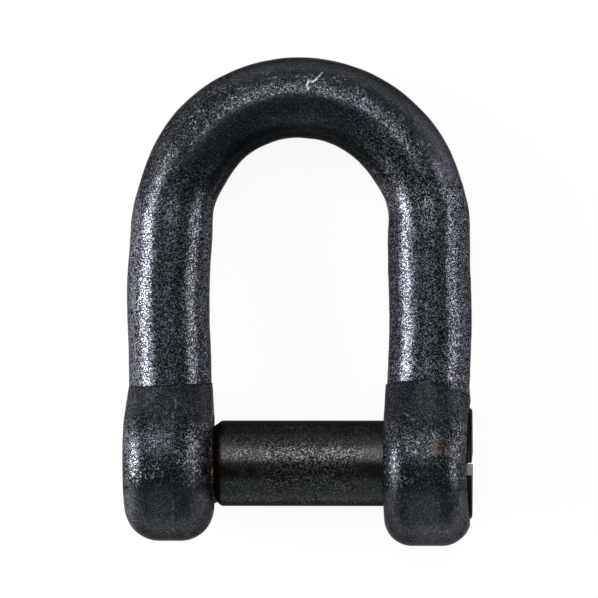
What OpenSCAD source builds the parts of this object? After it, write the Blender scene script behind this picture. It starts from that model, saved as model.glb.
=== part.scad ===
// Chain joining shackle: a forged bow with two ears, closed by a screw pin.
// The bow is drawn flat, with the pin along X and the crown towards +Y, and is then tipped
// about the pin until its ears and its crown lie on the same level surface.

/* [Bow] */
// Diameter of the round bar that the bow is bent from
bar_d = 22; // [18:0.5:26]
// Clear width between the two legs
throat_w = 47.5; // [40:0.5:60]
// Clear length from the pin to the inside of the crown
inside_l = 76; // [64:1:100]

/* [Ears] */
// How far the inner face of each ear stands in from its leg
ear_inset = 0.75; // [0:0.25:2]
// How much wider a forged ear is than the bar, measured along the pin
ear_extra = 2.5; // [1:0.5:5]
// Diameter of the round eye of an ear
eye_d = 43.3; // [41:0.1:46]
// Shift of the thread eye towards the crown, and of the head eye away from it
eye_shift = 0.65; // [0:0.05:1]
// Rounding of the eye's rim on the outer side
outer_rim_r = 9; // [6:0.5:11]
// Rounding of the eye's rim on the inner side
inner_rim_r = 9; // [6:0.5:11]
// Height of the shallow dome on the outer face
dome_h = 0.5; // [0.1:0.1:1]
// Distance from the pin's axis to the collar where the leg leaves the ear
collar_y = 21.2; // [20:0.2:26]
// How far the collar stands proud of the bar
collar_step = 0.3; // [0.1:0.1:1]
// Length of the straight land on the collar
collar_land = 0.5; // [0.2:0.1:2]
// Depth of metal machined off the outer face of the head ear
facing_cut = 1.2; // [0.5:0.1:3]

/* [Pin] */
// Diameter of the plain shank
pin_d = 23; // [20:0.5:24]
// Diameter over the thread
thread_d = 21.8; // [18:0.1:22]
// Diameter of the thread run-out beside the shank
runout_d = 20.4; // [17:0.1:21]
// Length of the thread run-out
runout_l = 1.1; // [0.5:0.1:2]
// Gap between the thread ear and the shank
shank_gap = 0.9; // [0.5:0.1:3]
// Length of the lead chamfer on the shank
lead_l = 1.4; // [0.5:0.1:3]
// Depth of the thread end below the outer face of its ear
end_recess = 1; // [0:0.25:3]
// Chamfer on the thread end
end_chamfer = 1.5; // [0.5:0.25:2.5]
// Diameter of the head
head_d = 31; // [28:0.5:32]
// Thickness of the head
head_h = 8; // [6:0.5:10]
// How far the head stands out of its seat
head_proud = 0.5; // [0.2:0.1:3]
// Chamfer on the rim of the head
head_chamfer = 1; // [0.5:0.1:1.5]
// Width of the screwdriver slot
slot_w = 3.2; // [2:0.1:5]
// Depth of the screwdriver slot
slot_depth = 4.5; // [2:0.5:6]
// Turn of the slot away from the bow's normal, in degrees
slot_turn = 4.5; // [0:0.5:90]

/* [Fits] */
// Radial clearance of the shank in the head ear
shank_clearance = 0.9; // [0.85:0.05:1.2]
// Radial clearance of the thread in the thread ear
thread_clearance = 0.1; // [0.05:0.05:0.3]
// Radial clearance of the head in its seat
head_clearance = 0.4; // [0.2:0.05:0.6]
// Chamfer on the outer mouth of the thread hole and the inner mouth of the clear hole
hole_chamfer = 1; // [0.5:0.1:1.5]
// Countersink on the inner mouth of the thread hole
countersink = 2.5; // [1:0.1:3.5]
// Chamfer on the mouth of the head's seat
seat_chamfer = 1; // [0.5:0.1:1.5]

/* [Hidden] */

$fn = 96;
// Fineness of the shapes that an ear is hulled from
hull_fn = 40;
// A cut runs this far past the face that it opens
past = 1;

// Bow: the legs stand at +-leg_x and end at bend_y, where the crown begins
leg_x = throat_w / 2 + bar_d / 2;
bend_y = inside_l + pin_d / 2 - throat_w / 2;
crown_y = bend_y + leg_x;

// Ears: inner and outer faces, and the machined face of the head ear
ear_in = throat_w / 2 - ear_inset;
ear_out = ear_in + bar_d + ear_extra;
face_x = ear_out - facing_cut;
eye_r = eye_d / 2;
collar_r = bar_d / 2 + collar_step;
// The leg ends well inside its ear
leg_foot_y = collar_y - bar_d / 3;

// Pin: stations along its axis, from the thread end to the head
pin_end_x = -ear_out + end_recess;
shank_x = -ear_in + shank_gap;
seat_x = face_x - (head_h - head_proud);
head_x = face_x + head_proud;

// Holes that take the pin
thread_hole_r = thread_d / 2 + thread_clearance;
shank_hole_r = pin_d / 2 + shank_clearance;
seat_r = head_d / 2 + head_clearance;

// Tip of the bow at which the eyes and the crown touch one level surface
rest_tilt = asin((eye_r - bar_d / 2) / crown_y);

module lay_down() {
    rotate([-rest_tilt, 0, 0]) children();
}

// A shape drawn about Z, turned to run along X
module along_x() {
    rotate([0, 90, 0]) children();
}

// A cylinder or cone on the pin's axis, from one station to another
module on_axis(from_x, to_x, r1, r2) {
    translate([from_x, 0, 0]) along_x() cylinder(h = to_x - from_x, r1 = r1, r2 = r2);
}

module crown() {
    translate([0, bend_y, 0])
        rotate_extrude(angle = 180)
            translate([leg_x, 0]) circle(d = bar_d);
}

module leg() {
    translate([leg_x, leg_foot_y, 0])
        rotate([-90, 0, 0]) cylinder(d = bar_d, h = bend_y - leg_foot_y);
}

// One rounded rim of an eye: a ring of round section about the pin's axis
module eye_rim(x, rim_r) {
    translate([x, 0, 0]) along_x()
        rotate_extrude($fn = hull_fn)
            translate([eye_r - rim_r, 0]) circle(r = rim_r, $fn = hull_fn);
}

// A forged ear: the round eye, drawn up to the collar on the leg
module ear(shift) {
    hull() {
        translate([0, shift, 0]) {
            eye_rim(ear_in + inner_rim_r, inner_rim_r);
            eye_rim(ear_out - dome_h - outer_rim_r, outer_rim_r);
            translate([ear_out - dome_h, 0, 0]) along_x()
                cylinder(h = dome_h, r = thread_d / 4, $fn = hull_fn);
        }
        translate([leg_x, collar_y, 0]) rotate([90, 0, 0])
            cylinder(h = collar_land, r = collar_r, $fn = hull_fn);
    }
}

module forging() {
    crown();
    leg();
    mirror([1, 0, 0]) leg();
    ear(-eye_shift);
    mirror([1, 0, 0]) ear(eye_shift);
}

// The thread ear: a hole right through, chamfered on the outer side and countersunk on the inner
module thread_hole() {
    on_axis(-ear_out - past, -ear_in + past, thread_hole_r, thread_hole_r);
    on_axis(-ear_out, -ear_out + hole_chamfer, thread_hole_r + hole_chamfer, thread_hole_r);
    on_axis(-ear_in - countersink, -ear_in, thread_hole_r, thread_hole_r + countersink);
}

// The head ear: its outer face cut flat, a clear hole, and a sunk, chamfered seat for the head
module head_seat() {
    mouth_r = shank_hole_r + hole_chamfer;
    facing_r = eye_r + eye_shift + past;
    on_axis(face_x, ear_out + past, facing_r, facing_r);
    on_axis(ear_in - past, seat_x + past, shank_hole_r, shank_hole_r);
    on_axis(ear_in, ear_in + hole_chamfer, mouth_r, shank_hole_r);
    on_axis(seat_x, face_x + past, seat_r, seat_r);
    on_axis(face_x - seat_chamfer, face_x + past, seat_r, seat_r + seat_chamfer + past);
}

module bow() {
    color("#2b2e31")
        lay_down()
            difference() {
                forging();
                thread_hole();
                head_seat();
            }
}

// The turned outline of the pin, as radius and station along the axis
function pin_outline() = [
    [0, pin_end_x],
    [thread_d / 2 - end_chamfer, pin_end_x],
    [thread_d / 2, pin_end_x + end_chamfer],
    [thread_d / 2, shank_x - runout_l],
    [runout_d / 2, shank_x - runout_l],
    [runout_d / 2, shank_x],
    [pin_d / 2, shank_x + lead_l],
    [pin_d / 2, seat_x],
    [head_d / 2, seat_x],
    [head_d / 2, head_x - head_chamfer],
    [head_d / 2 - head_chamfer, head_x],
    [0, head_x]
];

module screwdriver_slot() {
    translate([head_x - slot_depth, 0, 0])
        rotate([slot_turn, 0, 0])
            translate([0, -slot_w / 2, -head_d])
                cube([slot_depth + past, slot_w, 2 * head_d]);
}

module pin() {
    color("#26282a")
        lay_down()
            difference() {
                along_x() rotate_extrude() polygon(pin_outline());
                screwdriver_slot();
            }
}

bow();
pin();
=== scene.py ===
# %% [markdown]
# # A chain joining shackle
# The real shackle is two pieces of black steel: a forged bow and a screw pin that closes it.
# The solids arrive as a fixed frame, and this lesson skins them with finer meshes, gives them a
# scaled, worn finish, and lights them for a photograph taken from above.
# %% The frame
import math
import bmesh
import bpy
import numpy as np
from mathutils import Matrix, Vector, noise
from mathutils.bvhtree import BVHTree


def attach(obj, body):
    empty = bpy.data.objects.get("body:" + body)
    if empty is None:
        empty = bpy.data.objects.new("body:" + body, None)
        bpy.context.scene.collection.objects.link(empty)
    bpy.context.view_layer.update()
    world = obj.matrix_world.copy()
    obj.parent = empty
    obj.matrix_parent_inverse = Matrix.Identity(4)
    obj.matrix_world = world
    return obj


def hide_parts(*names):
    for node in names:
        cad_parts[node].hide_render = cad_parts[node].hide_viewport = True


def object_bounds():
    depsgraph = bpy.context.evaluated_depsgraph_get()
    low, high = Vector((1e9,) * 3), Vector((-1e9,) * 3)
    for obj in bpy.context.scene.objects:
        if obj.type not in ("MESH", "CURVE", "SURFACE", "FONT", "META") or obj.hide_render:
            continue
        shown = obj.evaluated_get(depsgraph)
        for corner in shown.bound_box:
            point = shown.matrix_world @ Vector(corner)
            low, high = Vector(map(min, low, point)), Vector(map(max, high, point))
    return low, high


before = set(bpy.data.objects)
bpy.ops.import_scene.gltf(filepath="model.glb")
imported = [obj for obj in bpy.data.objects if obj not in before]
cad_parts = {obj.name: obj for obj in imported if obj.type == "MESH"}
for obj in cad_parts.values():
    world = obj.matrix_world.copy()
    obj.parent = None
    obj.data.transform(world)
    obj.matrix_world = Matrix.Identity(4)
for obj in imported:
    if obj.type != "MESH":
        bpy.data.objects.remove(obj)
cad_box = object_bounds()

box_in_mm = [[round(1000 * side, 1) for side in corner] for corner in cad_box]
print("nodes", sorted(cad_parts), "box", box_in_mm)

# %% [markdown]
# The shackle is drawn flat, in millimetres: the pin along X, the crown towards +Y, and Z towards
# the viewer. It could be drawn where it lies, but every formula would then carry the tilt. Drawn
# flat, one matrix tips it about the pin until its ears and crown meet the table.
# %% The way it lies
bar_r = 11.0
leg_x = 34.75
bend_y = 63.75
eye_r = 21.65

tilt = math.asin((eye_r - bar_r) / (bend_y + leg_x))
lay_down = Matrix.Rotation(-tilt, 4, "X") @ Matrix.Scale(0.001, 4)
table_z = cad_box[0][2]
print("tilt", round(math.degrees(tilt), 2), "degrees; table at", round(1000 * table_z, 2), "mm")

# %% [markdown]
# Both pieces are skins over rings: a row of closed outlines with the same number of points, joined
# by quads. A ring can be any outline, so one helper makes bent bars, ears and screw threads.
# Modifiers could sweep a curve, but rings leave each point where a formula puts it.
# %% Rings into skins
def skin(name, rings):
    """A closed mesh over an array of rings (count, points, 3), drawn flat in millimetres."""
    count, points = rings.shape[:2]
    corners = rings.reshape(-1, 3).tolist()
    first_tip = len(corners)
    corners.append(rings[0].mean(axis=0).tolist())
    corners.append(rings[-1].mean(axis=0).tolist())
    faces = []
    for ring in range(count - 1):
        here = ring * points
        for point in range(points):
            beside = (point + 1) % points
            faces.append((here + point, here + beside, here + points + beside, here + points + point))
    last = (count - 1) * points
    for point in range(points):
        beside = (point + 1) % points
        faces.append((beside, point, first_tip))
        faces.append((last + point, last + beside, first_tip + 1))
    mesh = bpy.data.meshes.new(name)
    mesh.from_pydata(corners, [], faces)
    mesh.transform(lay_down)
    shape = bmesh.new()
    shape.from_mesh(mesh)
    bmesh.ops.recalc_face_normals(shape, faces=shape.faces)
    shape.to_mesh(mesh)
    shape.free()
    piece = bpy.data.objects.new(name, mesh)
    bpy.context.scene.collection.objects.link(piece)
    return piece


print("rings can be skinned")

# %% [markdown]
# An ear is a round eye drawn up into a collar on the leg. In the die it filled like dough round a
# ring, so its shape is the tightest skin over two rounded rims and the collar. The rims are fuller
# on the ear's front than round its edge, or the other way about, and no two are quite alike. Ready
# shapes could be joined and smoothed, but bmesh wraps such a hull exactly in one call.
# %% The hull of an ear
ear_in = 23.0
ear_out = 47.5
dome_h = 0.5
dome_r = 5.4
collar_y = 21.2
collar_r = 11.3
around = 168
angles = np.linspace(0, 2 * math.pi, around, endpoint=False)
rim_turns = 120
rim_laps = 18


def rim_points(face, facing, shift, edge_rim, front_rim):
    """Points of an ear's rounded rim, as distance from the middle, y and z."""
    turns = np.linspace(0, 2 * math.pi, rim_turns, endpoint=False)
    laps = np.linspace(0, math.pi / 2, rim_laps)
    turn, lap = np.meshgrid(turns, laps)
    rim = edge_rim + (front_rim - edge_rim) * np.sin(turn) ** 2
    reach = eye_r - rim + rim * np.cos(lap)
    away = face - facing * rim * (1 - np.sin(lap))
    return np.stack([away, shift + reach * np.cos(turn), reach * np.sin(turn)], -1)


def ear_hull(shift, outer_face, outer_rims, inner_rims):
    """A ray target: an ear whose eye is shifted along the leg. A rim has an edge and a front radius."""
    across = np.cos(angles)
    up = np.sin(angles)
    dome = np.stack([np.full(around, outer_face + dome_h), shift + dome_r * across, dome_r * up], -1)
    collar = np.stack([leg_x + collar_r * across, np.full(around, collar_y), collar_r * up], -1)
    outer = rim_points(outer_face, 1, shift, *outer_rims)
    inner = rim_points(ear_in, -1, shift, *inner_rims)
    shape = bmesh.new()
    for point in np.concatenate([part.reshape(-1, 3) for part in (outer, inner, dome, collar)]):
        shape.verts.new(point)
    bmesh.ops.convex_hull(shape, input=shape.verts)
    target = BVHTree.FromBMesh(shape)
    shape.free()
    return target


eye_shift = 0.65
head_ear_thinner = 0.4
thread_face = ear_out - dome_h
head_face = thread_face - head_ear_thinner
thread_hull = ear_hull(eye_shift, thread_face, outer_rims=(9.3, 7.8), inner_rims=(9.0, 13.0))
head_hull = ear_hull(-eye_shift, head_face, outer_rims=(8.0, 10.4), inner_rims=(7.5, 7.2))
print("ears wrapped, with their eyes", 2 * eye_shift, "mm apart along the legs")

# %% [markdown]
# A hull has long, uneven triangles, which would shade in streaks. So rays shot out from the leg's
# axis read its outline at one height after another, and the ear becomes even rings like the bar.
# A remesh could even it out too, but it would round the collar's crisp step.
# %% The ears' outlines
foot_turns = np.radians(np.arange(2.0, 90.0, 1.6))
level_step = 0.55
short_of_collar = 0.3
last_gap = 0.12


def ear_rings(target, shift):
    """Outlines of an ear from its foot up to the collar, as distance from the middle, y and z."""
    foot_levels = shift - eye_r * np.cos(foot_turns)
    upper_levels = np.arange(shift, collar_y - short_of_collar, level_step)
    rings = []
    for level in [*foot_levels, *upper_levels, collar_y - last_gap]:
        start = Vector((leg_x, level, 0))
        ring = []
        for angle in angles:
            way = Vector((math.cos(angle), 0, math.sin(angle)))
            ring.append(target.ray_cast(start, way)[0])
        rings.append(ring)
    return np.array(rings)


thread_ear = ear_rings(thread_hull, eye_shift)
head_ear = ear_rings(head_hull, -eye_shift)
print("ear outlines", thread_ear.shape[0], "of", around, "points")

# %% [markdown]
# The bow was forged straight and bent hot, so its bar isn't a perfect tube: the legs belly out a
# little, the bend is a hair out of true, and the bar is drawn thinner where it stretched. A bevelled
# curve could be the bar, but a line of formulas also takes in these small faults.
# %% The bar's line
crown_r = 34.45
crown_y = 64.3
belly_y = 44.0
belly_x = 35.15
border_x = 34.8
# Humps of the bend that is out of true: how far towards +X, at what height, and how wide
left_crooks = [(0.85, 80, 11), (-0.25, 48, 12)]
right_crooks = [(0.7, 66, 12), (0.45, 34, 13)]
neck_depth = 0.5
neck_y = 73
neck_width = 6.5


def ease(share):
    """A smooth step from 0 to 1."""
    return (1 - math.cos(math.pi * share)) / 2


def leg_line(y):
    """Distance of the leg's centre from the middle at a height: out to the belly, in to the crown."""
    if y < belly_y:
        return border_x + (belly_x - border_x) * ease((y - collar_y) / (belly_y - collar_y))
    return belly_x + (crown_r - belly_x) * ease((y - belly_y) / (crown_y - belly_y))


def swell(y, place, width):
    """A smooth hump that is 1 at a place."""
    return math.exp(-((y - place) / width) ** 2)


def crook(side, y):
    """How far the bend is out of true at a height, towards +X."""
    humps = left_crooks if side < 0 else right_crooks
    return sum(push * swell(y, place, width) for push, place, width in humps)


def neck(y):
    """How much the bar was drawn in where the bend begins."""
    return neck_depth * swell(y, neck_y, neck_width)


print("legs stand", round(leg_line(belly_y), 2), "mm from the middle at the belly")

# %% [markdown]
# Rings follow that line from one ear's foot, up a leg, over the crown and down to the other foot.
# The ears meet the legs in a crisp step, a little askew on each side. A crease on a subdivided mesh
# could hold the step, but two rings close together hold it exactly.
# %% Rings of an ear and its leg
leg_bar_r = 11.14
collar_round = 0.06
left_lean = -0.045
right_lift = 0.12
border_reach = 4.0
leg_step = 0.7
rows_at_collar = collar_y + np.array([0.02, 0.1])
rows_above = np.arange(collar_y + 0.5, crown_y, leg_step)
leg_heights = np.concatenate([rows_at_collar, rows_above])


def bar_ring(centre, outward, radius):
    """A round outline about a centre, starting on its outer side."""
    outline = np.zeros((around, 3))
    outline += centre
    outline += radius * np.cos(angles)[:, None] * outward
    outline[:, 2] += radius * np.sin(angles)
    return outline


def half_bow(ear, side, lean, lift):
    """Rings of one ear and its leg, from the foot to the start of the crown."""
    outward = np.array([side, 0, 0])
    collar = bar_ring(np.array([side * leg_x, collar_y, 0]), outward, collar_r - collar_round)
    rows = [*(ear * np.array([side, 1, 1])), collar]
    for y in leg_heights:
        centre = np.array([side * leg_line(y) + crook(side, y), y, 0])
        rows.append(bar_ring(centre, outward, leg_bar_r - neck(y)))
    rings = np.array(rows)
    near_border = np.exp(-np.abs(rings[:, :, 1] - collar_y) / border_reach)
    rings[:, :, 1] += (lean * (side * rings[:, :, 0] - leg_x) + lift * rings[:, :, 2]) * near_border
    return rings


left_half = half_bow(thread_ear, -1, left_lean, 0.0)
right_half = half_bow(head_ear, 1, 0.0, right_lift)
print("halves of", len(left_half), "and", len(right_half), "rings")

# %% Rings of the crown
crown_bar_r = 10.88
crown_step = 1.2


def crown_rings():
    """Rings of the crown, from the left leg over to the right."""
    rings = []
    for turn in np.radians(np.arange(180, -0.1, -crown_step)):
        outward = np.array([math.cos(turn), math.sin(turn), 0])
        thin = math.sin(turn) ** 2
        centre = np.array([0, crown_y, 0]) + crown_r * outward
        radius = leg_bar_r + (crown_bar_r - leg_bar_r) * thin - neck(centre[1])
        centre[0] += abs(outward[0]) * crook(outward[0], centre[1])
        rings.append(bar_ring(centre, outward, radius))
    return np.array(rings)


smooth_bow = np.concatenate([left_half, crown_rings(), right_half[::-1]])
print("bow of", len(smooth_bow), "rings")

# %% [markdown]
# A hammer die leaves shallow dents all over a forging. Bump could fake them, but not at the outline,
# where the eye looks first. So slow noise moves the points themselves, away from each ring's centre.
# %% Hammered skin
dent_depth = 0.09
dent_size = 7.0
dent_fade = 0.8
dent_finer = 2.0
dent_layers = 3
pock_size = 2.2
pock_share = 0.3


def hammered(rings, depth):
    """The rings with slow noise pushed into them, away from each ring's own centre."""
    dented = rings.copy()
    for ring in dented:
        centre = ring.mean(axis=0)
        for point in ring:
            spot = Vector(point)
            push = noise.fractal(spot / dent_size, dent_fade, dent_finer, dent_layers) * depth
            push += noise.noise(spot / pock_size) * pock_share * depth
            point += push * (point - centre) / max(np.linalg.norm(point - centre), 1.0)
    return dented


bow = skin("bow_forging", hammered(smooth_bow, dent_depth))
print("bow", len(bow.data.polygons), "faces before machining")

# %% [markdown]
# The pin's thread is a coarse right-hand one. Its radius at a place is a trapezium wave of how far
# along and how far round that place is. The same wave, a hair larger, is the tap that cuts the ear,
# so the two threads mesh at rest. A screw modifier can't share one formula between pin and hole.
# %% The thread as a formula
pitch = 2.5
thread_r = 10.9
thread_depth = 1.45
crest_x = -23.5
# Half of the flat crest, and one sloping flank, as shares of the pitch
half_crest = 0.07
flank = 0.31


def thread_radius(x, turn):
    """Radius of the thread at a station and a turn about the pin, from the viewer's side."""
    phase = ((x - crest_x) / pitch - turn / (2 * math.pi)) % 1.0
    off_crest = np.abs((phase + 0.5) % 1.0 - 0.5)
    groove = np.clip((off_crest - half_crest) / flank, 0, 1)
    return thread_r - thread_depth * groove


def turned_rings(stations, radius_at, points):
    """Rings about the pin's axis, with a radius for each station and turn."""
    turn = np.linspace(0, 2 * math.pi, points, endpoint=False)
    rings = []
    for x in stations:
        radius = radius_at(x, turn) + 0 * turn
        rings.append(np.stack([np.full(points, x), -radius * np.sin(turn), radius * np.cos(turn)], -1))
    return np.array(rings)


print("thread of pitch", pitch, "mm")

# %% [markdown]
# A tap cuts the thread ear, as in the workshop. The cutter is a skin too, with its chamfers in it,
# and a boolean takes it away. The hole could be rings of the ear, but a boolean finds the winding
# edge where the thread runs out through the countersink.
# %% Tapping the thread ear
tap_clearance = 0.15
tap_chamfer = 1.2
tap_countersink = 2.6
tap_step = 0.16
tap_points = 120
past = 1.0


def carve(piece, cutter):
    """Takes the cutter out of the piece for good, and throws the cutter away."""
    cut = piece.modifiers.new("cut", "BOOLEAN")
    cut.operation = "DIFFERENCE"
    cut.solver = "EXACT"
    cut.object = cutter
    seen_piece = piece.evaluated_get(bpy.context.evaluated_depsgraph_get())
    carved = bpy.data.meshes.new_from_object(seen_piece)
    piece.modifiers.clear()
    piece.data = carved
    bpy.data.objects.remove(cutter)


def tap_radius(x, turn):
    """The tapped hole, chamfered at its outer mouth and countersunk at its inner one."""
    outer_mouth = thread_r + tap_chamfer - (x + ear_out)
    inner_mouth = thread_r + tap_countersink + (x + ear_in)
    return np.maximum(thread_radius(x, turn) + tap_clearance, max(outer_mouth, inner_mouth))


tap_stations = np.arange(-ear_out - past, -ear_in + past, tap_step)
carve(bow, skin("tap", turned_rings(tap_stations, tap_radius, tap_points)))
print("tapped from", -ear_out, "to", -ear_in)

# %% [markdown]
# The head ear has a clear bore for the shank and a sunk seat for the head. One stepped cutter makes
# both, as a counterbore does, with a chamfer at each mouth. Two cylinders could do it, but a single
# profile keeps every step and chamfer in one list. Shading then stays smooth except at real edges.
# %% Boring the head ear
seat_x = 38.8
seat_r = 15.9
shank_hole_r = 12.4
bore_chamfer = 1.0
bore_past = 1.5
seat_chamfer = 2.2
seat_past = 0.5
turned_points = 144
crease = 28


def stepped(profile):
    """Rings for a turned cutter or piece, from stations and radii."""
    return np.concatenate([turned_rings([x], lambda _, turn, r=r: r, turned_points) for x, r in profile])


def soften(piece):
    """Smooth shading, kept crisp along edges that turn by more than the crease angle."""
    piece.data.shade_smooth()
    piece.data.set_sharp_from_angle(angle=math.radians(crease))


seat_profile = [
    (ear_in - bore_past, shank_hole_r + bore_chamfer + bore_past),
    (ear_in + bore_chamfer, shank_hole_r),
    (seat_x, shank_hole_r),
    (seat_x, seat_r),
    (ear_out - seat_chamfer, seat_r),
    (ear_out + seat_past, seat_r + seat_chamfer + seat_past),
]
carve(bow, skin("seat_cutter", stepped(seat_profile)))
soften(bow)
print("bow", len(bow.data.polygons), "faces after machining")

# %% [markdown]
# The pin is turned from bar: a chamfered thread end with the lathe's centre mark, a short run-out, a
# plain shank, and a head that sits sunk in its ear. A revolved curve could give the plain parts, but
# the thread needs rings, and rings make the rest as well, so the pin is one closed skin.
# %% The screw pin
pin_end_x = -46.5
end_chamfer = 1.5
shank_x = -22.1
shank_r = 11.56
head_x = 46.8
head_r = 15.5
runout_l = 2.2
runout_fade = 0.7


def pin_radius(x, turn):
    """Radius of the threaded part, with its end chamfer and its run-out into the shank."""
    fading = np.clip((x - (shank_x - runout_l)) / runout_l, 0, 1) * runout_fade
    thread = thread_r - (thread_r - thread_radius(x, turn)) * (1 - fading)
    return np.minimum(thread, thread_r - end_chamfer + (x - pin_end_x))


print("pin from", pin_end_x, "to", head_x, "mm")

# %% The pin's outline
# Depth below the end and radius, from the drilled point out to the flat end
mark_profile = [(2.0, 0.1), (0.9, 0.9), (0.9, 1.0), (0.05, 1.9), (0.0, 2.0), (0.0, 6.0)]
# Distance from the thread and radius, up the eased chamfer that leads on to the shank
lead_profile = [(0.0, 10.5), (0.1, 10.6), (0.95, 11.36), (1.2, 11.48), (1.5, shank_r)]
# Distance from the seat and radius, under the head and round its lower edge
under_profile = [(-0.02, shank_r), (0.02, shank_r + 0.05), (0.02, head_r - 0.3), (0.3, head_r)]
# Depth below the head's face and radius, over its chamfer and on to the face
rim_profile = [
    (1.1, head_r), (0.95, head_r - 0.06), (0.1, head_r - 0.92), (0.0, head_r - 1.1), (0.0, head_r / 2),
]

thread_step = 0.15
shank_step = 2.4
plain_shank_x = -19
centre_mark = [(pin_end_x + depth, r) for depth, r in mark_profile]
lead = [(shank_x + along, r) for along, r in lead_profile]
shank = [(x, shank_r) for x in np.arange(plain_shank_x, seat_x - 0.5, shank_step)]
under_head = [(seat_x + along, r) for along, r in under_profile]
head_rim = [(head_x - depth, r) for depth, r in rim_profile]
thread_rings = turned_rings(np.arange(pin_end_x, shank_x, thread_step), pin_radius, turned_points)
plain_rings = stepped(lead + shank + under_head + head_rim)
pin_rings = np.concatenate([stepped(centre_mark), thread_rings, plain_rings])
pin = skin("screw_pin", pin_rings)
print("pin of", len(pin_rings), "rings")

# %% [markdown]
# A screwdriver slot is sawn across the head, slightly askew, as the pin was left when it came tight.
# The rings could leave it out, but a saw's straight walls don't follow a round ring, so a slab does
# the sawing.
# %% The slot
slot_w = 3.2
slot_depth = 4.5
slot_turn = math.radians(4.5)
saw_l = 10.0
saw_reach = 60.0


def slot_saw():
    """A slab across the head, turned a little about the pin."""
    slab = bmesh.new()
    bmesh.ops.create_cube(slab, size=1.0)
    saw_mesh = bpy.data.meshes.new("slot_saw")
    slab.to_mesh(saw_mesh)
    slab.free()
    middle_of_saw = Matrix.Translation((head_x - slot_depth + saw_l / 2, 0, 0))
    place = middle_of_saw @ Matrix.Rotation(slot_turn, 4, "X")
    saw_mesh.transform(lay_down @ place @ Matrix.Diagonal((saw_l, slot_w, saw_reach, 1)))
    saw = bpy.data.objects.new("slot_saw", saw_mesh)
    bpy.context.scene.collection.objects.link(saw)
    return saw


carve(pin, slot_saw())
soften(pin)
print("pin", len(pin.data.polygons), "faces")

# %% [markdown]
# Each skin rides on the body that it belongs to and stands for that body's solid. The skins could be
# parented by hand, but then nothing would say which solid each of them hides.
# %% Riding on the frame
for piece, body, finish in ((bow, "bow", "forged_steel"), (pin, "pin", "pin_steel")):
    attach(piece, body)
    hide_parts(body)
print("pieces ride", [piece.name for piece in (bow, pin)])

# %% [markdown]
# A finish is a formula of place, so it reads best as one. A socket wrapped in a small class takes
# plus, minus and times, and each sign adds a Math node. Wiring the nodes by hand gives the same
# material, but hides the sums in it.
# %% Shader sums
class Wire:
    """An output of a node, on which sums add Math nodes."""

    def __init__(self, finish, socket):
        self.finish = finish
        self.socket = socket

    def sum(self, operation, first, second=0.0):
        return self.finish.node("ShaderNodeMath", {"operation": operation}, {0: first, 1: second})

    def __add__(self, other):
        return self.sum("ADD", self, other)

    __radd__ = __add__

    def __sub__(self, other):
        return self.sum("SUBTRACT", self, other)

    def __rsub__(self, other):
        return self.sum("SUBTRACT", other, self)

    def __mul__(self, other):
        return self.sum("MULTIPLY", self, other)

    __rmul__ = __mul__

    def __truediv__(self, other):
        return self.sum("DIVIDE", self, other)

    def __rtruediv__(self, other):
        return self.sum("DIVIDE", other, self)

    def __pow__(self, other):
        return self.sum("POWER", self, other)

    def __abs__(self):
        return self.sum("ABSOLUTE", self)

    def wave(self):
        return self.sum("SINE", self)

    def least(self, other):
        return self.sum("MINIMUM", self, other)

    def most(self, other):
        return self.sum("MAXIMUM", self, other)

    def rise(self, low, high):
        """0 below low, 1 above high, and smooth between; falls if low is the larger."""
        return self.finish.node(
            "ShaderNodeMapRange", {"interpolation_type": "SMOOTHSTEP"},
            {"Value": self, "From Min": low, "From Max": high})

    def belt(self, start, full, fading, end):
        """1 between full and fading, and smoothly down to 0 at start and end."""
        return self.rise(start, full) * self.rise(end, fading)


print("sums ready")

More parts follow.
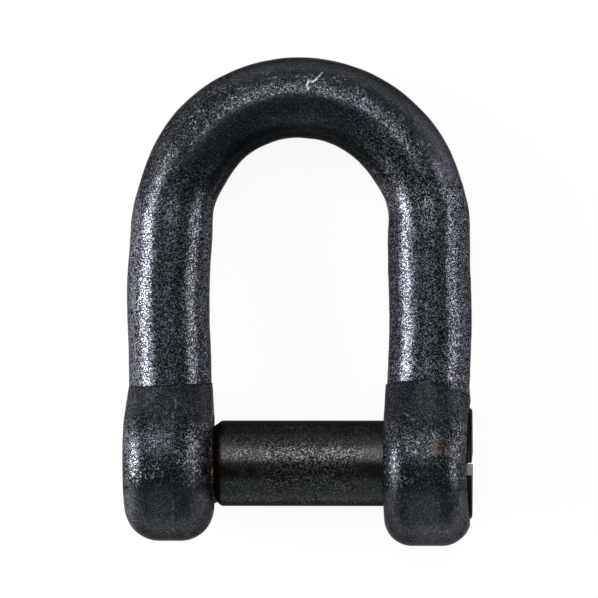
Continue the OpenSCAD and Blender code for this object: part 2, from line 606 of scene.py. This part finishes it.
# %% [markdown]
# Every other node comes from one method, which takes its kind, its settings and its sockets. On top
# of it stand the few textures that worn steel needs: cloudy noise, random specks, scratches along a
# line, and fine relief. Each is asked for by its size in millimetres, because a maker thinks in sizes.
# %% Finishes
class Finish:
    """A material under construction, with the place on the flat shackle in millimetres."""

    def __init__(self, name):
        self.material = bpy.data.materials.new(name)
        self.material.use_nodes = True
        self.tree = self.material.node_tree
        self.shader = self.tree.nodes["Principled BSDF"]
        lying = self.node("ShaderNodeTexCoord", {}, {}, "Object")
        flat = self.node(
            "ShaderNodeVectorRotate", {"rotation_type": "X_AXIS"}, {"Vector": lying, "Angle": tilt})
        self.place = self.node(
            "ShaderNodeVectorMath", {"operation": "SCALE"}, {"Vector": flat, "Scale": 1000.0})
        self.x, self.y, self.z = (
            self.node("ShaderNodeSeparateXYZ", {}, {"Vector": self.place}, axis) for axis in "XYZ")

    def node(self, kind, settings, sockets, output=0):
        made = self.tree.nodes.new(kind)
        for name, value in settings.items():
            setattr(made, name, value)
        for name, value in sockets.items():
            self.feed(made.inputs[name], value)
        return Wire(self, made.outputs[output])

    def feed(self, socket, value):
        if isinstance(value, Wire):
            self.tree.links.new(value.socket, socket)
        else:
            socket.default_value = value

    def set(self, **values):
        for name, value in values.items():
            self.feed(self.shader.inputs[name.replace("_", " ")], value)

    def grain(self, size, detail=2.0, rough=0.5, stretch=(1, 1, 1)):
        """Cloudy noise from 0 to 1 whose lumps are about size millimetres across."""
        scale = tuple(s / size for s in stretch)
        spot = self.node("ShaderNodeVectorMath", {"operation": "MULTIPLY"}, {0: self.place, 1: scale})
        lumps = {"Vector": spot, "Scale": 1.0, "Detail": detail, "Roughness": rough}
        return self.node("ShaderNodeTexNoise", {}, lumps, "Fac")

    def specks(self, size):
        """A random value from 0 to 1 for each of many cells, about size millimetres across."""
        spacing = {"Vector": self.place, "Scale": 1.0 / size}
        cells = self.node("ShaderNodeTexVoronoi", {}, spacing, "Color")
        return self.node("ShaderNodeSeparateColor", {}, {"Color": cells}, "Red")

    def blend(self, share, first, second):
        """A colour between two, by share."""
        return self.node(
            "ShaderNodeMix", {"data_type": "RGBA"}, {0: share, 6: first, 7: second}, 2)

    def scratch(self, points, width):
        """A mask along a line through points (x, y) in millimetres, on the viewer's side."""
        marked = 0.0
        for (ax, ay), (bx, by) in zip(points, points[1:]):
            dx = bx - ax
            dy = by - ay
            share = ((self.x - ax) * dx + (self.y - ay) * dy) / (dx * dx + dy * dy)
            along = share.most(0.0).least(1.0)
            off_x = self.x - ax - along * dx
            off_y = self.y - ay - along * dy
            apart = (off_x * off_x + off_y * off_y) ** 0.5
            marked = apart.rise(width, 0.3 * width).most(marked)
        return marked * self.z.rise(0.0, 2.0)

    def relief(self, height, depth, under=None):
        """Fine relief that is depth metres high, over any relief under it."""
        sockets = {"Height": height, "Distance": depth, "Strength": 1.0}
        if under is not None:
            sockets["Normal"] = under
        return self.node("ShaderNodeBump", {}, sockets, "Normal")


print("finishes ready")

# %% [markdown]
# A finish changes with the place on the bow: the legs are grainy down to the ragged border of the
# ears, and the crown's outer half is worn to satin. Masks from the same sizes as the mesh find those
# places. Painting vertex colours could do it too, but they would be as coarse as the mesh.
# %% Places on the bow
scale = Finish("forged_scale")
to_left = 0 - scale.x
on_left = scale.x.rise(2.0, -2.0)
left_rise = left_lean * (to_left - leg_x)
right_sag = 0.3 * (scale.x - leg_x).most(0.0)
right_rise = right_lift * scale.z - right_sag
above_border = scale.y - collar_y - (on_left * left_rise + (1 - on_left) * right_rise)
ragged = scale.grain(1.3) - 0.5
on_leg = (above_border + 1.6 * ragged).rise(-0.3, 0.4)
on_ear = 1 - on_leg
above_bend = (scale.y - crown_y).most(0.0)
outward = (scale.x * scale.x + above_bend * above_bend) ** 0.5 - crown_r
on_crown = above_bend.rise(4.0, 20.0)
satin = (outward + 1.2 * ragged).rise(0.8, 1.5) * above_bend.rise(4.0, 16.0)
inside_crown = on_crown * (1 - satin)
from_ridge = abs(abs(scale.x) - leg_x)
from_pin = (scale.y * scale.y + scale.z * scale.z) ** 0.5
print("places on the bow found")

# %% [markdown]
# Forged steel keeps a skin of black scale: dark, cool and satin, with a grain like fine sand that
# sparkles where a lamp glances off it. Each grain is a cell of its own brightness, and a high power
# leaves few bright and most dark. The grain could be modelled, but at a fifth of a millimetre it is
# finer than any mesh, so it goes into colour, with a little bump. Pits and bolder grains lie between.
# %% Grain of the scale
grains = scale.specks(0.2) ** 5.0
bold_grains = scale.specks(0.6) ** 9.0
pits = scale.specks(0.3).rise(0.3, 0.15)
clouds = scale.grain(14.0, detail=3.0)
print("grain, bold grain and pits sown")

# %% [markdown]
# The die pressed some places smoother than others. The legs are the grainiest, but calmer along
# their fronts. The crown is smoother on its rim and in its hollow, and the ears are smooth but for a
# belt round the eye. One material for each could show it, but its borders would be hard lines.
# %% Where the bow is grainy
eye_belt = scale.y.belt(-8.0, -1.0, 7.0, 14.5)
off_ridge = from_ridge.rise(1.0, 7.0)
ear_grain = 0.28 + 0.12 * scale.y.rise(8.0, 14.0) + eye_belt * (0.35 + 0.65 * off_ridge)
smooth_rim = satin * outward.rise(3.5, 6.0) * scale.x.rise(-24.0, -12.0)
smooth_hollow = inside_crown * scale.x.rise(24.0, 12.0)
calm_front = from_ridge.rise(7.0, 3.0) * above_bend.rise(8.0, 2.0) * on_leg
bar_grain = 1.25 - 0.6 * satin - 0.4 * smooth_rim - 0.9 * smooth_hollow - 0.6 * calm_front
graininess = on_leg * bar_grain + on_ear * ear_grain
boldness = 0.08 + on_leg * (0.08 - 0.13 * on_crown)
shine = (0.12 + graininess * (1.16 * grains - 0.245)).most(0.0) + boldness * bold_grains
print("grain spread over the bow")

# %% [markdown]
# Some sides of the bar are brighter or darker than the lamps make them. A painted reflection of the
# lit table brightens the left flank, and painted shade darkens the right leg's inner side and a line
# along the edge of the crown's satin. The right shoulder, the legs' fronts and the foot of the right
# leg are brighter, and the left shoulder and bend and the inside of the crown are darker. Lamps could
# pick these out, but a lamp lights every piece on its side alike.
# %% Brighter and darker sides of the bar, with painted reflection and shade
# Painted reflection: the left flank is brightened as if it mirrored the lit table beside it
painted_left_reflection = on_left * (0.5 + 0.5 * on_leg) * to_left.rise(leg_x + 7.5, leg_x + 10.5)
# The right shoulder, the legs' fronts and the right leg's foot are made brighter, the left shoulder and
# bend darker
brighter_right_shoulder = (1 - on_left) * above_bend.belt(2.0, 9.0, 24.0, 36.0)
brighter_front = (0.45 - 0.2 * on_left) * calm_front
brighter_right_foot = (1 - on_left) * on_leg * above_border.rise(7.0, 4.0)
# Painted shade: the left lamp's band is dimmed on the right leg's inner side
painted_inner_side_shade = scale.x.belt(1.0, 5.0, leg_x - 5.0, leg_x - 1.0) * above_bend.rise(10.0, 0.0)
darker_left_shoulder = on_left * above_bend.belt(2.0, 9.0, 15.0, 23.0) * outward.belt(-2.0, 2.0, 7.0, 9.0)
darker_left_bend = on_left * outward.rise(-2.0, -5.0) * above_bend.belt(4.0, 7.0, 11.0, 16.0)
painted_reflection_and_brightening = 3.0 * painted_left_reflection + 0.6 * brighter_right_shoulder + brighter_front + 0.5 * brighter_right_foot
bar_painted_light_and_tone = 1 + painted_reflection_and_brightening - 0.3 * painted_inner_side_shade - 0.15 * darker_left_shoulder - 0.4 * darker_left_bend
# Painted shade: a dark line just inside the edge of the crown's satin
painted_satin_edge_shade = on_crown * scale.x.rise(-18.0, -8.0) * outward.belt(-2.0, 0.0, 0.7, 1.4)
crown_darkening_and_shade = 0.08 * satin + 0.38 * inside_crown + 0.25 * painted_satin_edge_shade
print("bar rubbed and dulled")

# %% [markdown]
# The ears differ too. Their fronts are dull round the eye. On the sides, a painted highlight brightens
# the brow above it, except on the left flank, where painted shade darkens it; painted shade also darkens
# the sides just below the pin, and the right ear's foot is a little brighter. Each could be a light of
# its own, but masks on heights from the pin stay put in every view.
# %% Dull ear fronts, and painted highlight and shade on the ears' sides
ear_front = eye_belt * from_ridge.rise(9.0, 5.0)
ear_dull = on_ear * (0.05 + 0.25 * ear_front)
ear_side = on_ear * from_ridge.rise(3.0, 6.0)
left_flank = to_left.rise(39.0, 42.0)
# Painted highlight on the ears' brows; on the left flank, painted shade instead
painted_brow_highlight = scale.y.belt(5.0, 8.0, 10.0, 13.0) * (1 - left_flank)
painted_brow_shade = scale.y.rise(7.0, 12.0) * left_flank
foot_level = scale.y - 3.0 * scale.x.rise(38.0, 41.0)
# Painted shade on the ears' sides just below the pin
painted_foot_shade = foot_level.rise(1.0, -1.5) * scale.y.rise(-9.0, -6.0)
bright_foot = on_ear * (1 - on_left) * scale.y.rise(-5.0, -9.0)
ear_painted_light_and_tone = 1 + 0.3 * bright_foot + ear_side * (0.35 * painted_brow_highlight - 0.4 * painted_brow_shade - 0.5 * painted_foot_shade)
print("ears rubbed and dulled")

# %% [markdown]
# All of that multiplies into one tone, which sets how far the colour goes from black scale to bright
# grain. Painted shade darkens the crown's outer rim and inner edge, and a broken line of painted shade
# marks the ears' border step. Layered shaders could mix it, but one sum is quicker to render and to
# read.
# %% Black scale on the bow
black_scale = (0.0105, 0.0135, 0.014, 1)
bright_grain = (0.467, 0.467, 0.545, 1)
# Painted shade on the crown's outer rim and on its inner edge, towards the throat
painted_outer_rim_shade = 0.3 * above_bend.rise(18.0, 27.0) * outward.rise(6.0, 8.5)
painted_inner_edge_shade = 0.8 * on_crown * outward.rise(-6.0, -9.0)
dulled = (1 - crown_darkening_and_shade - ear_dull) * (1 - painted_outer_rim_shade - painted_inner_edge_shade)
mottled = (0.79 + 0.52 * clouds) * (1 - 0.6 * pits * graininess)
# Painted shade: a broken dark line along the step where the ears meet the legs
painted_border_shade = abs(above_border + 0.2).rise(0.35, 0.1) * scale.grain(2.0).rise(0.35, 0.65)
tone = dulled * mottled * bar_painted_light_and_tone * ear_painted_light_and_tone * (1 - 0.7 * painted_border_shade)
scale_colour = scale.blend(shine * tone, black_scale, bright_grain)
print("black scale mixed")

# %% [markdown]
# Use has marked it: a silver zigzag on the crown, and fine, half-faded scratches on the ears. Each
# scratch is a mask of the distance from a line, broken up by noise and cut a little into the skin.
# They could be drawn on an image, but an image would have to be laid over the round bar without
# stretching.
# %% Scratches
zigzag = [(6.5, 105.2), (5.1, 103.5), (4.0, 102.7), (3.0, 103.1), (2.4, 101.7), (2.8, 100.8)]
head_ear_hook = [(28.6, 13.9), (31.9, 11.6), (32.8, 10.6)]
head_ear_tick = [(36.0, 9.1), (37.1, 7.0)]
head_ear_line = [(40.9, -3.6), (45.1, -3.6)]
thread_ear_curl = [(-32.8, 17.4), (-32.5, 15.7), (-33.4, 13.6), (-33.2, 12.5)]
thread_ear_flash = [(-33.4, -6.0), (-33.2, -11.5), (-33.5, -18.0)]
broken = scale.grain(0.7, detail=1.0).rise(0.36, 0.5)
faded = scale.grain(1.0, detail=1.0).rise(0.42, 0.58)
strong_below = 0.5 + 0.5 * scale.y.rise(105.0, 103.5)
bright_cut = scale.scratch(zigzag, 0.37) * (0.2 + 0.8 * broken) * strong_below
dull_cuts = scale.scratch(head_ear_hook, 0.26)
for line in (head_ear_tick, thread_ear_curl):
    dull_cuts = dull_cuts.most(scale.scratch(line, 0.24))
for line in (head_ear_line, thread_ear_flash):
    dull_cuts = dull_cuts.most(0.25 * scale.scratch(line, 0.3))
print("scratches drawn")

# %% [markdown]
# Scale chips off where it is knocked: in clusters over the crown and the ears' middles, and in specks
# along the edge of the crown's satin. Chips could be small meshes, but they are thinner than paper.
# Noise over a threshold gives their ragged shapes, and a second, slower noise gathers them.
# %% Chips
satin_edge = 1.4
bare_steel = (0.55, 0.55, 0.57, 1)
fresh_cut = (0.72, 0.72, 0.74, 1)
chips = scale.grain(0.75, detail=2.0).rise(0.58, 0.66) * scale.grain(5.0, detail=1.0).rise(0.46, 0.58)
chipped_crown = above_bend.rise(10.0, 20.0) * outward.belt(0.0, 2.0, 6.0, 8.5)
chipped_ear = on_ear * scale.y.belt(-8.0, -2.0, 4.0, 9.0)
edge_chips = abs(outward - satin_edge).rise(0.55, 0.25) * scale.grain(0.9, detail=1.0).rise(0.62, 0.68)
chipped_edge = edge_chips * on_crown * scale.x.belt(-26.0, -20.0, 2.0, 6.0)
chipped = (0.6 * chips * chipped_crown.most(chipped_ear)).most(0.45 * chipped_edge)
bare = bright_cut.most(0.45 * dull_cuts * faded).most(chipped)
bared_colour = scale.blend(bare, scale_colour, bare_steel)
worn_colour = scale.blend(bright_cut, bared_colour, fresh_cut)
print("chips scattered")

# %% [markdown]
# Water stands in the mouth of the head's seat, so a brown bloom of rust rings it, and one stain has
# run down the ear's front. The holes were bored after forging, so they have no scale: they are dull
# cut steel, gone brown in patches under the pin. They could be a second material on their own faces,
# but a bore is easy to find by its distance from the pin, and one material keeps its edges soft.
# %% Rust on the bow
stain_colour = (0.10, 0.075, 0.045, 1)
cut_steel = (0.075, 0.073, 0.07, 1)
brown_rust = (0.05, 0.026, 0.016, 1)
rust_bloom = scale.x.rise(42.5, 44.5) * from_pin.rise(18.5, 16.5) * scale.grain(1.5).rise(0.35, 0.6)
stain_x = (scale.x - 38.8) / 4.0
stain_y = (scale.y - 4.6) / 2.6
stain = (stain_x * stain_x + stain_y * stain_y).rise(1.3, 0.2) * scale.z.rise(0.0, 5.0) * broken
rust_stain = (0.55 * rust_bloom).most(0.5 * stain)
rusted_colour = scale.blend(rust_stain, worn_colour, stain_colour)
in_seat = scale.x.rise(seat_x - 0.4, seat_x) * from_pin.rise(seat_r + 0.3, seat_r)
in_bore = from_pin.rise(shank_hole_r + 0.9, shank_hole_r + 0.2).most(in_seat)
bore_rust = scale.grain(2.0, detail=4.0, rough=0.6).rise(0.42, 0.62)
bored_colour = scale.blend(bore_rust, cut_steel, brown_rust)
bow_colour = scale.blend(in_bore, rusted_colour, bored_colour)
bow_rust = rust_bloom.most(in_bore * bore_rust)
print("rust on the bow")

# %% [markdown]
# The shader brings it together. Scale shines nearly as a metal does. Rust doesn't, and a fresh, torn
# cut scatters the light, so both are less metallic here. Nothing is glossier than satin, and the edge
# tint is turned down, or the pale table would ring every edge with white. Grain and cuts also get a
# little relief, whose depth is given in metres.
# %% The bow's shader
satin_roughness = 0.277
faint_gloss = 0.05
grain_depth = 0.00004
cut_depth = 0.00006
fine_grain = scale.grain(0.62, detail=3.0, rough=0.62) * graininess
scale.set(
    Base_Color=bow_colour,
    Metallic=0.85 - 0.5 * bow_rust - 0.6 * bright_cut,
    Roughness=satin_roughness + 0.05 * clouds + 0.05 * on_ear + 0.2 * bow_rust,
    Specular_IOR_Level=faint_gloss,
    Specular_Tint=(0.28, 0.28, 0.28, 1),
    Normal=scale.relief(1 - bare, cut_depth, scale.relief(fine_grain, grain_depth)),
)
bow.data.materials.clear()
bow.data.materials.append(scale.material)
print("worn black scale on", bow.name)

# %% [markdown]
# The pin was turned and blackened, so its shank is smoother than the bow, rubbed to bare flecks in
# the middle, where the chain hangs, and stained brown along its front. Painted shade darkens its top
# side, towards the crown. The bow's material could serve it too, but the pin's wear follows its own
# axis, so it gets a finish of its own.
# %% Turned steel on the shank
turned = Finish("turned_pin")
blacking = (0.008, 0.008, 0.0085, 1)
rubbed_steel = (0.34, 0.325, 0.335, 1)
pin_grains = turned.specks(0.25) ** 4.0
pin_clouds = turned.grain(9.0, detail=3.0)
patchy = turned.grain(4.0, detail=2.0).rise(0.35, 0.65)
rubbed = abs(turned.x - 2.5).rise(18.0, 5.0) * turned.y.belt(-8.0, -3.5, 4.0, 8.0)
pin_graininess = 0.27 + 0.25 * patchy + 0.45 * rubbed
pin_shine = (0.16 + pin_graininess * (pin_grains - 0.2)).most(0.0)
# Painted shade on the shank's top side, towards the crown
painted_pin_top_shade = 0.6 * turned.y.rise(7.0, 9.5)
pin_tone = (0.7 + 0.6 * pin_clouds) * (1 - painted_pin_top_shade)
pin_colour = turned.blend(pin_shine * pin_tone, blacking, rubbed_steel)
print("pin's steel mixed")

# %% Flecks and a brown stain on the shank
bare_fleck = (0.4, 0.4, 0.4, 1)
brown_stain = (0.024, 0.012, 0.009, 1)
pin_flecks = turned.specks(0.45) ** 22.0 * (0.1 + 0.6 * rubbed) * turned.grain(3.0).rise(0.4, 0.6)
rubbed_colour = turned.blend(pin_flecks, pin_colour, bare_fleck)
stain_band = turned.y.belt(-5.0, -3.0, -0.5, 1.5) * (1 - 0.6 * rubbed)
stained_front = stain_band * (0.4 + 0.6 * turned.grain(6.0).rise(0.4, 0.65))
stained_colour = turned.blend(0.8 * stained_front, rubbed_colour, brown_stain)
print("shank flecked and stained")

# %% [markdown]
# Rust sits in the thread: dark in the grooves, and paler and crumbly on the crests, where it has been
# scraped. The distance from the pin's axis tells crest from groove, so no faces have to be picked.
# %% Rust in the thread
groove_rust = (0.008, 0.004, 0.003, 1)
dark_rust = (0.016, 0.008, 0.005, 1)
dry_rust = (0.09, 0.055, 0.038, 1)
pale_crumb = (0.4, 0.31, 0.25, 1)
pin_reach = (turned.y * turned.y + turned.z * turned.z) ** 0.5
in_thread = turned.x.rise(shank_x + 1.1, shank_x + 0.5)
rust_colour = turned.blend(turned.grain(0.8, detail=3.0).rise(0.4, 0.75), dark_rust, dry_rust)
pale_rust = turned.blend(0.8 * turned.specks(0.4) ** 8.0, rust_colour, pale_crumb)
# Near the shank the crests keep the dark groove colour: painted shade over the run-out and the lead
# chamfer's start
on_crest = pin_reach.rise(10.0, 10.7) * turned.x.rise(shank_x - 0.3, shank_x - 0.9)
thread_colour = turned.blend(on_crest, groove_rust, pale_rust)
print("rust in the thread")

# %% [markdown]
# The head's face and the thread's end were faced on the lathe, which leaves fine rings: a wave of the
# distance from the axis. The end has rusted in from its rim. The head's side is blackened steel,
# painted darker than the shank as shade. Real grooves could be turned into the mesh, but they are
# finer than a hair.
# %% The head and the thread's end
# Painted shade: the head's side is near black, darker than the shank's steel
painted_head_side_shade = (0.012, 0.012, 0.013, 1)
faced_dark = (0.008, 0.008, 0.009, 1)
faced_light = (0.12, 0.12, 0.125, 1)
in_head = turned.x.rise(43.0, 44.0)
on_face = turned.x.rise(head_x - 0.06, head_x - 0.02)
on_end = turned.x.rise(pin_end_x + 0.06, pin_end_x + 0.02)
facing_rings = (13.0 * pin_reach + 2.0 * turned.grain(5.0)).wave()
facing_tone = (0.32 + 0.13 * facing_rings) * (0.4 + 1.2 * pin_clouds)
face_colour = turned.blend(facing_tone, faced_dark, faced_light)
head_colour = turned.blend(on_face, painted_head_side_shade, face_colour)
headed_colour = turned.blend(in_head, stained_colour, head_colour)
end_rust = turned.grain(3.0, detail=4.0, rough=0.6).rise(0.46, 0.62).most(pin_reach.rise(7.5, 9.5))
end_colour = turned.blend(0.85 * end_rust, face_colour, pale_rust)
ended_colour = turned.blend(on_end, thread_colour, end_colour)
threaded_colour = turned.blend(in_thread, headed_colour, ended_colour)
print("head and end faced")

# %% [markdown]
# The slot was sawn after blackening, so its walls are bright, streaked along the saw's way and darker
# in patches towards the floor. It is found as the mesh was cut: by how far a place is across the turned
# slot.
# %% Bright walls in the slot
sawn_dark = (0.34, 0.29, 0.23, 1)
sawn_bright = (0.8, 0.75, 0.66, 1)
slot_dark = (0.05, 0.035, 0.025, 1)
slot_floor = head_x - slot_depth
half_slot = slot_w / 2
across_slot = abs(turned.y * math.cos(slot_turn) + turned.z * math.sin(slot_turn))
between_walls = across_slot.rise(half_slot + 0.06, half_slot + 0.02)
in_slot = turned.x.rise(slot_floor - 0.4, slot_floor) * between_walls
saw_marks = turned.grain(0.5, detail=3.0, stretch=(1, 1, 0.06)).rise(0.3, 0.7)
sawn_colour = turned.blend(saw_marks, sawn_dark, sawn_bright)
towards_floor = turned.x.rise(head_x - 1.0, head_x - 3.0)
darker_towards_slot_floor = 0.75 * turned.grain(2.2, detail=3.0).rise(0.5, 0.68) * towards_floor
slot_colour = turned.blend(darker_towards_slot_floor, sawn_colour, slot_dark)
slotted_colour = turned.blend(in_slot, threaded_colour, slot_colour)
print("slot walls bright")

# %% [markdown]
# The pin's shader follows the bow's: nearly a metal, except where rust or the slot shows. The lathe's
# fine lines run round the shank as relief, stretched noise mixed with a little even grain.
# %% The pin's shader
rusty = in_thread * (1 - on_end * (1 - 0.9 * end_rust))
lathe_lines = turned.grain(0.4, detail=2.0, stretch=(1, 0.05, 0.05))
turned.set(
    Base_Color=slotted_colour,
    Metallic=0.85 - 0.75 * rusty - 0.5 * in_slot,
    Roughness=satin_roughness + 0.06 * pin_clouds + 0.3 * rusty + 0.1 * in_slot,
    Specular_IOR_Level=faint_gloss,
    Specular_Tint=(0.05, 0.05, 0.05, 1),
    Normal=turned.relief(0.4 * lathe_lines + 0.6 * turned.grain(0.55, detail=3.0), grain_depth),
)
pin.data.materials.clear()
pin.data.materials.append(turned.material)
print("turned steel on", pin.name)

# %% [markdown]
# The photograph was taken from above, so the ground is a white table. More light would whiten it, but
# would wash out the steel. Instead, rays from the camera, from gloss and through glass see it near
# white whatever the light, and it still dims where the shackle shades it.
# %% The table
table_size = 12.0
table_gap = 0.00002
table_glow = 0.93
matt_white = (0.8, 0.8, 0.8, 1)
shadow_share = (0.12, 0.12, 0.12, 1)
bpy.ops.mesh.primitive_plane_add(size=table_size, location=(0, 0, table_z - table_gap))
table = bpy.context.object
table.name = "table"
white = Finish("white_table")
white.tree.nodes.remove(white.shader)
paths = [white.node("ShaderNodeLightPath", {}, {}, kind)
         for kind in ("Is Camera Ray", "Is Glossy Ray", "Is Transmission Ray")]
seen = paths[0].most(paths[1]).most(paths[2])
matt = white.node("ShaderNodeBsdfDiffuse", {}, {"Color": matt_white}, "BSDF")
shaded = white.node("ShaderNodeBsdfDiffuse", {}, {"Color": shadow_share}, "BSDF")
glow = white.node("ShaderNodeEmission", {}, {"Color": (1, 1, 1, 1), "Strength": table_glow}, "Emission")
bright = white.node("ShaderNodeAddShader", {}, {0: shaded, 1: glow}, "Shader")
either = white.node("ShaderNodeMixShader", {}, {0: seen, 1: matt, 2: bright}, "Shader")
white.feed(white.tree.nodes["Material Output"].inputs["Surface"], either)
table.data.materials.append(white.material)
print("table", [round(c, 3) for c in table.location])

# %% [markdown]
# Three soft boxes make the bands on the steel: a strong one low on the left, a weaker one low on the
# right, and one above the crown, close beside the camera. Three faint ones behind the crown, in
# front of the ears and over the left shoulder keep the dark sides readable, in a dark room. A sky
# picture could light it too, but lamps can be placed by the band that each one leaves.
# %% A soft box
lamp_distance = 1.9
bow_normal = (lay_down.to_3x3() @ Vector((0, 0, 1))).normalized()
bow_up = (lay_down.to_3x3() @ Vector((0, 1, 0))).normalized()
to_the_right = Vector((1, 0, 0))
lit_y = 44
middle = lay_down @ Vector((0, lit_y, 0))


def soft_box(name, off_axis, way, size, radiance, tint):
    """An area lamp that faces the shackle, some degrees from the bow's normal along a way."""
    lean = math.radians(off_axis)
    place = middle + lamp_distance * (math.cos(lean) * bow_normal + math.sin(lean) * way)
    lamp = bpy.data.lights.new(name, "AREA")
    lamp.shape = "RECTANGLE"
    lamp.size, lamp.size_y = size
    lamp.energy = radiance * math.pi * size[0] * size[1]
    lamp.color = tint
    box = bpy.data.objects.new(name, lamp)
    facing = (middle - place).normalized()
    side = facing.cross(bow_up if abs(way.x) > 0.5 else to_the_right).normalized()
    over = side.cross(facing)
    box.matrix_world = Matrix((side, over, -facing)).transposed().to_4x4()
    box.location = place
    box.visible_camera = False
    bpy.context.scene.collection.objects.link(box)


print("soft boxes stand", lamp_distance, "m away")

# %% Light
cool = (0.99, 0.965, 1.0)
sky = (0.8, 0.95, 0.97)
soft_box("left_box", 68, -to_the_right, (0.85, 1.2), 14.0, cool)
soft_box("right_box", 69, to_the_right, (0.85, 1.3), 3.7, cool)
soft_box("top_box", 25.5, bow_up, (1.1, 1.1), 2.65, cool)
soft_box("back_box", 48, bow_up, (1.6, 1.5), 0.42, sky)
soft_box("front_box", 68, -bow_up, (1.8, 1.0), 0.35, sky)
soft_box("corner_box", 48, (bow_up - to_the_right).normalized(), (0.9, 0.9), 0.6, sky)

room_colour = (0.74, 0.94, 0.96, 1)
room_strength = 0.11
world = bpy.data.worlds.new("dark_room")
world.use_nodes = True
background = world.node_tree.nodes["Background"]
background.inputs["Color"].default_value = room_colour
background.inputs["Strength"].default_value = room_strength
bpy.context.scene.world = world
bpy.context.scene.view_settings.view_transform = "Standard"

# %% [markdown]
# The camera looks down square to the bow, a touch from the right, as the photographer's did. A short
# lens close by would swell the nearest metal, so a long lens stands two metres off.
# %% Camera
view_width = 0.1615
camera_distance = 2.0
view_turn = math.radians(2.0)
aim_y = 44.36
aim = lay_down @ Vector((0, aim_y, 0))
camera_data = bpy.data.cameras.new("camera")
camera_data.sensor_width = 36.0
camera_data.lens = camera_data.sensor_width * camera_distance / view_width
camera = bpy.data.objects.new("camera", camera_data)
back = (math.cos(view_turn) * bow_normal + math.sin(view_turn) * to_the_right).normalized()
right = bow_up.cross(back).normalized()
camera.matrix_world = Matrix((right, back.cross(right), back)).transposed().to_4x4()
camera.location = aim + camera_distance * back
bpy.context.scene.collection.objects.link(camera)
bpy.context.scene.camera = camera
print("camera", [round(c, 3) for c in camera.location], "lens", round(camera_data.lens, 1))

# %% [markdown]
# The view layer is brought up to date, so every piece stands where it was put.
# %% Bringing the scene up to date
bpy.context.view_layer.update()
